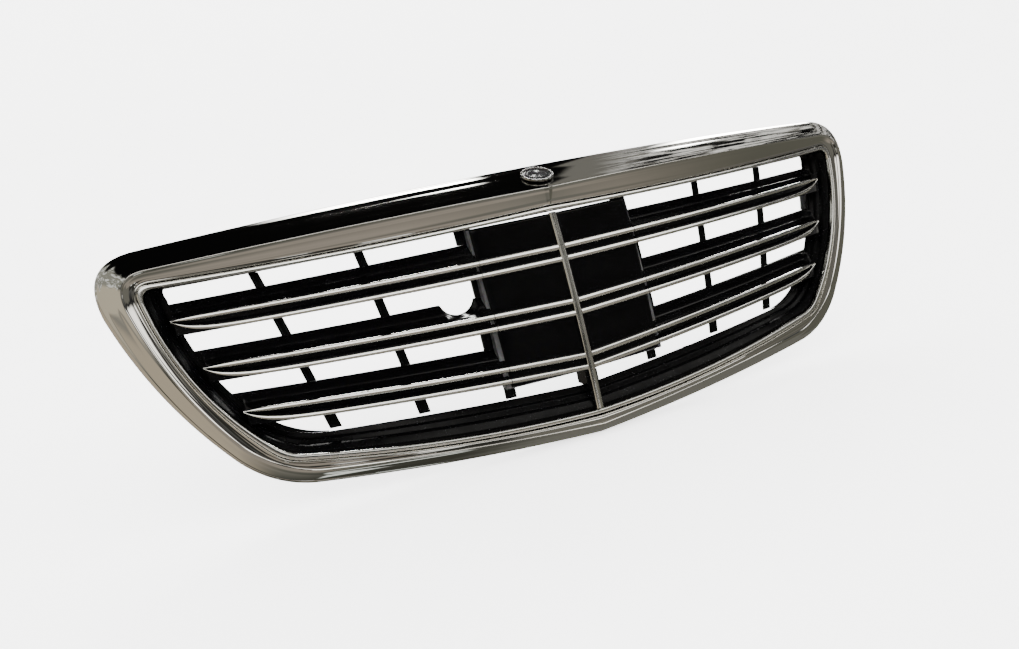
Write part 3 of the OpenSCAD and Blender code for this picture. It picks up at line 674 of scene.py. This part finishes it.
def uprights(camera=False):
    """Uprights of one side; the innermost is narrower beside the camera."""
    parts = [side_upright()]
    for foot, slope in UPRIGHTS:
        parts.append(rib(foot + RIB_SHIFT, slope, throat_foot(foot) + 1.4, throat_top(foot) - 0.6))
        for row in range(4):
            parts += fin(foot, slope, row, POST_W if row == 3 else STRUT)
    parts.append(rib(sum(INNER) / 2, 0, -128, 20))
    for row in range(3):
        end = CAMERA_POST if camera and row == 1 else INNER[1]
        mid, h = (INNER[0] + end) / 2, (end - INNER[0]) / 2
        parts.append(column(mid, 0, fin_ends(mid, row), (-h, h), (-h, h - 1),
                            LATTICE_FRONT if row == 0 else 16.4, FIN_REAR))
    parts.append(rib(POST_X, 0, throat_foot(POST_X) + 1.4, -118))
    parts += fin(POST_X, 0, 3, POST_W)
    return joined(parts)


piece("slats_left_skin", flipped(slats(True)), CARRIER, ["slats_left"])
piece("slats_right_skin", slats(), CARRIER, ["slats_right"])
piece("uprights_left_skin", flipped(uprights(True)), CARRIER, ["uprights_left"])
piece("uprights_right_skin", uprights(), CARRIER, ["uprights_right"])

# ---------------------------------------------------------------- centre

COVER_FRONT, COVER_T, COVER_FOOT, COVER_TOP = 2.6, 3.0, -130.0, 33.5
BAR_W = 7.6


def cover():
    """Flat cover with eased edges."""
    t = np.concatenate([[-1, -0.997, -0.988], np.linspace(-0.97, 0.97, 40), [0.988, 0.997, 1]])
    zs = np.linspace(COVER_FOOT, COVER_TOP, 60)
    zs = np.concatenate([[zs[0]], [zs[0] + 0.3, zs[0] + 1.0], zs[1:-1], [zs[-1] - 1.0, zs[-1] - 0.3],
                         [zs[-1]]])
    tt, zz = np.meshgrid(t, zs, indexing="ij")
    x = tt * cover_w(zz)
    drop_x = np.clip((np.abs(tt) - 0.97) / 0.03, 0, 1) ** 2
    near = np.minimum(zz - COVER_FOOT, COVER_TOP - zz)
    drop_z = np.clip(1 - near / 1.2, 0, 1) ** 2
    y = face(x, zz) + COVER_FRONT + 1.2 * np.maximum(drop_x, drop_z)
    front = np.stack([x, y, zz], 2)
    rear = np.stack([x, face(x, zz) + COVER_FRONT + COVER_T, zz], 2)
    return between(front, rear)


piece("sensor_cover_skin", cover(), COVER, ["sensor_cover"])


def cover_strip(row, drop):
    """Bright strip across the right half of the cover."""
    xs = np.linspace(BAR_W / 2 + 0.1, cover_w(LOUVRE_Z[row]) - 0.1, 40)
    return bright_strip(xs, row, lambda x: strip_z(row, x) - drop, COVER_FRONT - 0.2)


for row, name in enumerate(NAMES):
    one = joined([cover_strip(row, 0), cover_strip(row, GAP)])
    piece(f"cover_strips_{name}_skin", joined([one, flipped(one)]), BRIGHT,
          [f"cover_strips_{name}"], 60)

BAR_ENDS = [36, 1.5, -113.5, -173]
# Section of the bar: shares of its half width and depths
BAR_ACROSS = [(-1, 0.9), (-1, -0.3), (-0.92, -0.8), (-0.75, -1.2), (-0.5, -1.6), (-0.2, -1.92),
              (0, -2.0), (0.2, -1.92), (0.5, -1.6), (0.75, -1.2), (0.92, -0.8), (1, -0.3), (1, 0.9)]


def bar(top, low):
    """One length of the centre bar."""
    zs = np.linspace(top - 0.15, low + 0.15, 40)
    h = BAR_W / 2

    def wall(x, depth):
        xx = np.full(len(zs), x)
        return np.stack([xx, face(xx, zs) + depth, zs], 1)

    f = np.stack([wall(t * h, d) for t, d in BAR_ACROSS], 1)
    r = np.stack([wall(t * h, COVER_FRONT - 0.2) for t in (-1, 1)], 1)
    return between(f[:, ::-1], r[:, ::-1])


for name, top, low in zip(["top", "middle", "foot"], BAR_ENDS, BAR_ENDS[1:]):
    piece(f"centre_bar_{name}_skin", bar(top, low), BRIGHT, [f"centre_bar_{name}"])

piece("centre_post_skin",
      column(0, 0, (throat_foot(0) + 1, COVER_FOOT - 2.6), (-7, 7), (-7, 7), COVER_FRONT, LATTICE_REAR),
      CARRIER, ["centre_post"])

# ---------------------------------------------------------------- badge

BADGE = np.array([0, -24, 75.2])
TILT = math.radians(20)
R = 18.0
ring = [(R - 2.8, 0), (R - 0.1, 0), (R, 0.15), (R, 1.2), (R - 0.15, 1.75), (R - 0.5, 2.15),
        (R - 1.0, 2.38), (R - 1.6, 2.4), (R - 2.2, 2.2), (R - 2.6, 1.9), (R - 2.8, 1.5)]
RING_N, DOME_N = 288, 192
FLUTES, FLUTE_D = 48, 0.35
RIBS, RIB_D = 24, 0.22
p, f = turned(ring, np.zeros(3), RING_N)
f = f[:-2] + [((len(ring) - 1) * RING_N + i, (len(ring) - 1) * RING_N + (i + 1) % RING_N,
               (i + 1) % RING_N, i) for i in range(RING_N)]
# Fine flutes round the crown of the ring
turn = np.arctan2(p[:, 1], p[:, 0])
crown = np.clip((p[:, 2] - 1.2) / 1.2, 0, 1)
p[:, 2] -= crown * FLUTE_D * (0.5 - 0.5 * np.cos(FLUTES * turn))


def on_crown(part):
    """Badge part, tilted and set on the crown."""
    q, faces = part
    c, s = math.cos(TILT), math.sin(TILT)
    return np.stack([q[:, 0], c * q[:, 1] - s * q[:, 2], s * q[:, 1] + c * q[:, 2]], 1) + BADGE, faces


piece("badge_ring_skin", on_crown((p, f)), RING, ["badge_ring"])
dome = [(2.5, -10), (2.5, 0), (R - 3, 0), (R - 3, 0.85), (R - 3.3, 1.0), (R - 5.2, 1.15)]
dome += [(R - 5.4, 0.75), (R - 6.6, 0.75), (R - 6.9, 1.3)]
dome += [((R - 7.2) * math.cos(t), 1.3 + 0.5 * math.sin(t)) for t in np.linspace(0.05, 1.5, 12)]
p, f = turned(dome, np.zeros(3), DOME_N)
# Shallow radial ribs across the field
turn = np.arctan2(p[:, 1], p[:, 0])
radius = np.hypot(p[:, 0], p[:, 1])
ribs = np.clip((radius - 3) / 3, 0, 1) * np.clip((R - 6.9 - radius) / 1.5, 0, 1) * (p[:, 2] > 1.2)
p[:, 2] -= ribs * RIB_D * (0.5 - 0.5 * np.cos(RIBS * turn))
piece("badge_field_skin", on_crown((p, f)), FIELD, ["badge_disc"])

# ---------------------------------------------------------------- CAD pieces shown as they are

SHOWN = {
    BRACKET: ["upper_bracket_left", "upper_bracket_right", "lower_bracket_left", "lower_bracket_right",
              "side_bracket_left", "side_bracket_right", "cover_frame"],
    ZINC: ["bolt_sleeves", "bracket_screws", "carrier_screws", "cover_screws", "edge_clips", "badge_nut"],
}
for material, names in SHOWN.items():
    for name in names:
        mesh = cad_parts[name].data
        mesh.materials.clear()
        mesh.materials.append(material)

# ---------------------------------------------------------------- stage

PAPER_GLOW = 1.9
PAPER = shader("studio_paper", (0.86, 0.86, 0.86), 0.0, 0.9, spread=0.02, scale=2, peel=0.02)
paper = next(n for n in PAPER.node_tree.nodes if n.type == "BSDF_PRINCIPLED")
paper.inputs["Emission Color"].default_value = (1, 1, 1, 1)
paper.inputs["Emission Strength"].default_value = PAPER_GLOW

# A round floor that sweeps up into the backdrop, in metres
FLOOR_R, SWEEP_R, ROOM_H, ROOM_N = 4.0, 2.0, 9.0, 96
ground = cad_lo.z - 0.0005
profile = [(0.01, 0.0), (FLOOR_R, 0.0)]
for t in np.linspace(0.1, 1.57, 16):
    profile.append((FLOOR_R + SWEEP_R * math.sin(t), SWEEP_R - SWEEP_R * math.cos(t)))
profile.append((FLOOR_R + SWEEP_R, ROOM_H))
pts, faces = turned(profile, np.array([0, 0, ground]), ROOM_N)
mesh = bpy.data.meshes.new("studio_room")
mesh.from_pydata([tuple(v) for v in pts], [], faces[:-2])
mesh.polygons.foreach_set("use_smooth", [True] * len(mesh.polygons))
mesh.materials.append(PAPER)
room = bpy.data.objects.new("studio_room", mesh)
bpy.context.scene.collection.objects.link(room)
room.visible_glossy = False
room.visible_shadow = False


LAMP_PLACE, LAMP_SIZE, LAMP_POWER = (0, -0.5, 4.5), 5.0, 170
overhead = bpy.data.lights.new("overhead", "AREA")
overhead.shape = "RECTANGLE"
overhead.size, overhead.size_y = LAMP_SIZE, LAMP_SIZE
overhead.energy = LAMP_POWER
lamp = bpy.data.objects.new("overhead", overhead)
lamp.location = LAMP_PLACE
lamp.rotation_mode = "QUATERNION"
aim = (cad_lo + cad_hi) / 2 - Vector(LAMP_PLACE)
lamp.rotation_quaternion = aim.to_track_quat("-Z", "Y")
bpy.context.scene.collection.objects.link(lamp)
lamp.visible_glossy = False

# The plating mirrors only this world. Every region of it is a range of the direction (vx, vy, vz):
# x to the right, y to the rear, z up.
world = bpy.data.worlds.new("studio")
bpy.context.scene.world = world
world.use_nodes = True
wn, wl = world.node_tree.nodes, world.node_tree.links
sky = next(n for n in wn if n.type == "BACKGROUND")
coords = wn.new("ShaderNodeTexCoord")
axes = wn.new("ShaderNodeSeparateXYZ")
wl.new(coords.outputs["Generated"], axes.inputs["Vector"])


def step(value, low, high, kind="SMOOTHSTEP"):
    """0 at low and before, 1 at high and beyond; low may be the larger."""
    n = wn.new("ShaderNodeMapRange")
    n.interpolation_type = kind
    n.inputs["From Min"].default_value = low
    n.inputs["From Max"].default_value = high
    wl.new(value, n.inputs["Value"])
    return n.outputs["Result"]


def times(*values):
    """Product of several masks."""
    out = values[0]
    for v in values[1:]:
        n = wn.new("ShaderNodeMath")
        n.operation = "MULTIPLY"
        wl.new(out, n.inputs[0])
        wl.new(v, n.inputs[1])
        out = n.outputs["Value"]
    return out


def over(under, colour, factor):
    """Colour laid over what is there, where the mask is 1."""
    n = wn.new("ShaderNodeMix")
    n.data_type = "RGBA"
    wl.new(factor, n.inputs["Factor"])
    wl.new(under, n.inputs["A"])
    n.inputs["B"].default_value = (*colour, 1)
    return n.outputs["Result"]


def mottle(scale, stretch, low, high):
    """Mask of stretched patches."""
    n = wn.new("ShaderNodeTexNoise")
    n.inputs["Scale"].default_value = scale
    n.inputs["Detail"].default_value = 6.0
    m = wn.new("ShaderNodeMapping")
    m.inputs["Scale"].default_value = stretch
    wl.new(coords.outputs["Generated"], m.inputs["Vector"])
    wl.new(m.outputs["Vector"], n.inputs["Vector"])
    return step(n.outputs["Fac"], low, high)


vx, vy, vz = axes.outputs["X"], axes.outputs["Y"], axes.outputs["Z"]
ramp = wn.new("ShaderNodeValToRGB")
wl.new(step(vz, -1, 1, "LINEAR"), ramp.inputs["Fac"])
# Base of the world, from straight down to straight up
stops = [(0.0, (0.05, 0.05, 0.04)), (0.12, (0.10, 0.10, 0.085)), (0.24, (0.17, 0.165, 0.14)),
         (0.36, (0.36, 0.32, 0.27)), (0.48, (0.30, 0.27, 0.23)), (0.52, (0.13, 0.125, 0.115)),
         (0.66, (0.10, 0.10, 0.095)), (0.74, (0.02, 0.02, 0.02)), (1.0, (0.003, 0.003, 0.003))]
el = ramp.color_ramp.elements
el[0].position, el[0].color = stops[0][0], (*stops[0][1], 1)
el[1].position, el[1].color = stops[-1][0], (*stops[-1][1], 1)
for place, colour in stops[1:-1]:
    e = el.new(place)
    e.color = (*colour, 1)
light = ramp.outputs["Color"]
below = step(vz, 0.02, -0.06)
front = step(vy, 0.02, -0.08)
rear = step(vy, -0.06, 0.04)
# Above and behind: black, which makes the left of the flange black
light = over(light, (0.003, 0.003, 0.003), times(rear, step(vz, 0.0, 0.06)))
# Below: grey on the right, warm on the left
light = over(light, (0.12, 0.118, 0.095), times(step(vx, 0.45, 0.85), below))
light = over(light, (0.52, 0.45, 0.34), times(step(vx, -0.45, -0.85), below))
light = over(light, (0.17, 0.168, 0.145), times(step(vx, 0.10, 0.30), step(vz, -0.50, -0.56)))
# Left, low: a mid grey wall
light = over(light, (0.27, 0.26, 0.225), times(step(vx, -0.12, -0.34), step(vz, -0.1, 0.0),
                                               step(vz, 0.50, 0.42), front))
# Front, high: the long soft light
light = over(light, (2.6, 2.55, 2.4), times(step(vy, -0.16, -0.30), step(vz, 0.50, 0.58),
                                            step(vz, 0.90, 0.82), step(vx, -0.62, -0.45)))
# Level with the face, left: dark, with two short lights
ahead = step(vy, -0.55, -0.68)
light = over(light, (0.035, 0.035, 0.03), times(step(vx, 0.24, 0.16), step(vz, -0.05, -0.02),
                                                step(vz, 0.28, 0.24), ahead))
light = over(light, (0.17, 0.165, 0.14), times(step(vx, 0.16, 0.24), step(vz, -0.05, -0.02),
                                              step(vz, 0.50, 0.44), ahead))
for near, far in [(-0.18, -0.10), (-0.02, 0.10)]:
    light = over(light, (1.3, 1.3, 1.25), times(step(vx, near, near + 0.02), step(vx, far, far - 0.02),
                                                step(vz, -0.06, -0.03), step(vz, 0.05, 0.02), ahead))
# To the left and right of the face: two pale boards for the centre bar
light = over(light, (0.75, 0.74, 0.68), times(step(vx, -0.42, -0.46), step(vx, -0.58, -0.54),
                                              step(vz, 0.20, 0.24), step(vz, 0.36, 0.32), front))
light = over(light, (0.85, 0.84, 0.78), times(step(vx, 0.90, 0.92), step(vy, -0.40, -0.36),
                                              step(vy, -0.26, -0.29), step(vz, 0.06, 0.09),
                                              step(vz, 0.22, 0.19)))
# Bottom: one narrow light
light = over(light, (1.1, 1.15, 1.1), times(step(vx, -0.20, -0.15), step(vx, 0.10, 0.05),
                                            step(vz, -0.80, -0.83), step(vz, -0.93, -0.90), front))
rear_edge = times(step(vy, 0.02, 0.06), step(vy, 0.40, 0.34))
# Nearly overhead, a little behind: a tapering streak
light = over(light, (1.1, 1.1, 1.05), times(step(vx, 0.20, 0.32), step(vx, 0.46, 0.42), rear_edge,
                                            step(vz, 0.84, 0.88)))
# Right, rear: grey with streaks; left, high: mottled
lean = wn.new("ShaderNodeMath")
lean.operation = "MULTIPLY_ADD"
wl.new(vy, lean.inputs[0])
lean.inputs[1].default_value = -0.1
wl.new(vx, lean.inputs[2])
leaning = lean.outputs["Value"]
right = times(step(leaning, 0.39, 0.405), step(vz, 0.05, 0.15), step(vy, -0.1, 0.03))
light = over(light, (0.19, 0.185, 0.165), times(right, step(vz, 0.93, 0.87)))
light = over(light, (1.05, 1.04, 1.0), times(right, step(vx, 0.49, 0.55), step(vz, 0.88, 0.80),
                                             mottle(5.0, (1.0, 3.5, 5.0), 0.46, 0.50)))
light = over(light, (0.004, 0.004, 0.004), times(right, step(vx, 0.49, 0.56),
                                                 mottle(6.5, (1.0, 3.0, 4.5), 0.49, 0.51)))
left = times(step(vx, -0.36, -0.46), step(vz, 0.02, 0.08), step(vz, 0.80, 0.74), step(vy, -0.3, -0.1))
light = over(light, (0.30, 0.30, 0.255), left)
light = over(light, (0.85, 0.86, 0.82), times(left, mottle(7.0, (2.5, 1.0, 2.0), 0.50, 0.58)))
# Far left: a warm wall
light = over(light, (0.60, 0.54, 0.42), times(step(vx, -0.80, -0.90), step(vz, -0.02, 0.06),
                                             step(vz, 0.50, 0.40)))
# Behind: two narrow, strong lights that the ridges of the louvres catch
RIDGE_LIGHT = (30, 30, 29)
light = over(light, RIDGE_LIGHT, times(step(vx, 0.10, 0.24), step(vx, 0.36, 0.33), step(vy, 0.68, 0.72),
                                        step(vz, 0.46, 0.49), step(vz, 0.65, 0.62)))
light = over(light, RIDGE_LIGHT, times(step(vx, 0.54, 0.60), step(vx, 0.72, 0.69), step(vy, 0.62, 0.65),
                                        step(vz, 0.28, 0.31), step(vz, 0.53, 0.50)))
wl.new(light, sky.inputs["Color"])
sky.inputs["Strength"].default_value = 1.0

# ---------------------------------------------------------------- camera

AZ, EL, ROLL = math.radians(-22.109), math.radians(13.738), math.radians(-8.679)
# Place of the origin in the view and its distance in mm, focal length in widths of the picture
TX, TY, DISTANCE, FOCAL = 30.769, 93.412, 1109.704, 989.82 / 1019
SENSOR = 36
z = np.array([math.sin(AZ) * math.cos(EL), -math.cos(AZ) * math.cos(EL), math.sin(EL)])
x = unit(np.cross([0, 0, 1], z))
y = np.cross(z, x)
x2 = math.cos(ROLL) * x + math.sin(ROLL) * y
y2 = -math.sin(ROLL) * x + math.cos(ROLL) * y
eye = (-TX * x2 - TY * y2 + DISTANCE * z) * MM + DATUM
lens = bpy.data.cameras.new("camera")
lens.sensor_width = SENSOR
lens.lens = FOCAL * SENSOR
lens.clip_start, lens.clip_end = 0.05, 60
lens.dof.use_dof = False
camera = bpy.data.objects.new("camera", lens)
camera.matrix_world = Matrix(((x2[0], y2[0], z[0], eye[0]), (x2[1], y2[1], z[1], eye[1]),
                              (x2[2], y2[2], z[2], eye[2]), (0, 0, 0, 1)))
bpy.context.scene.collection.objects.link(camera)
bpy.context.scene.camera = camera
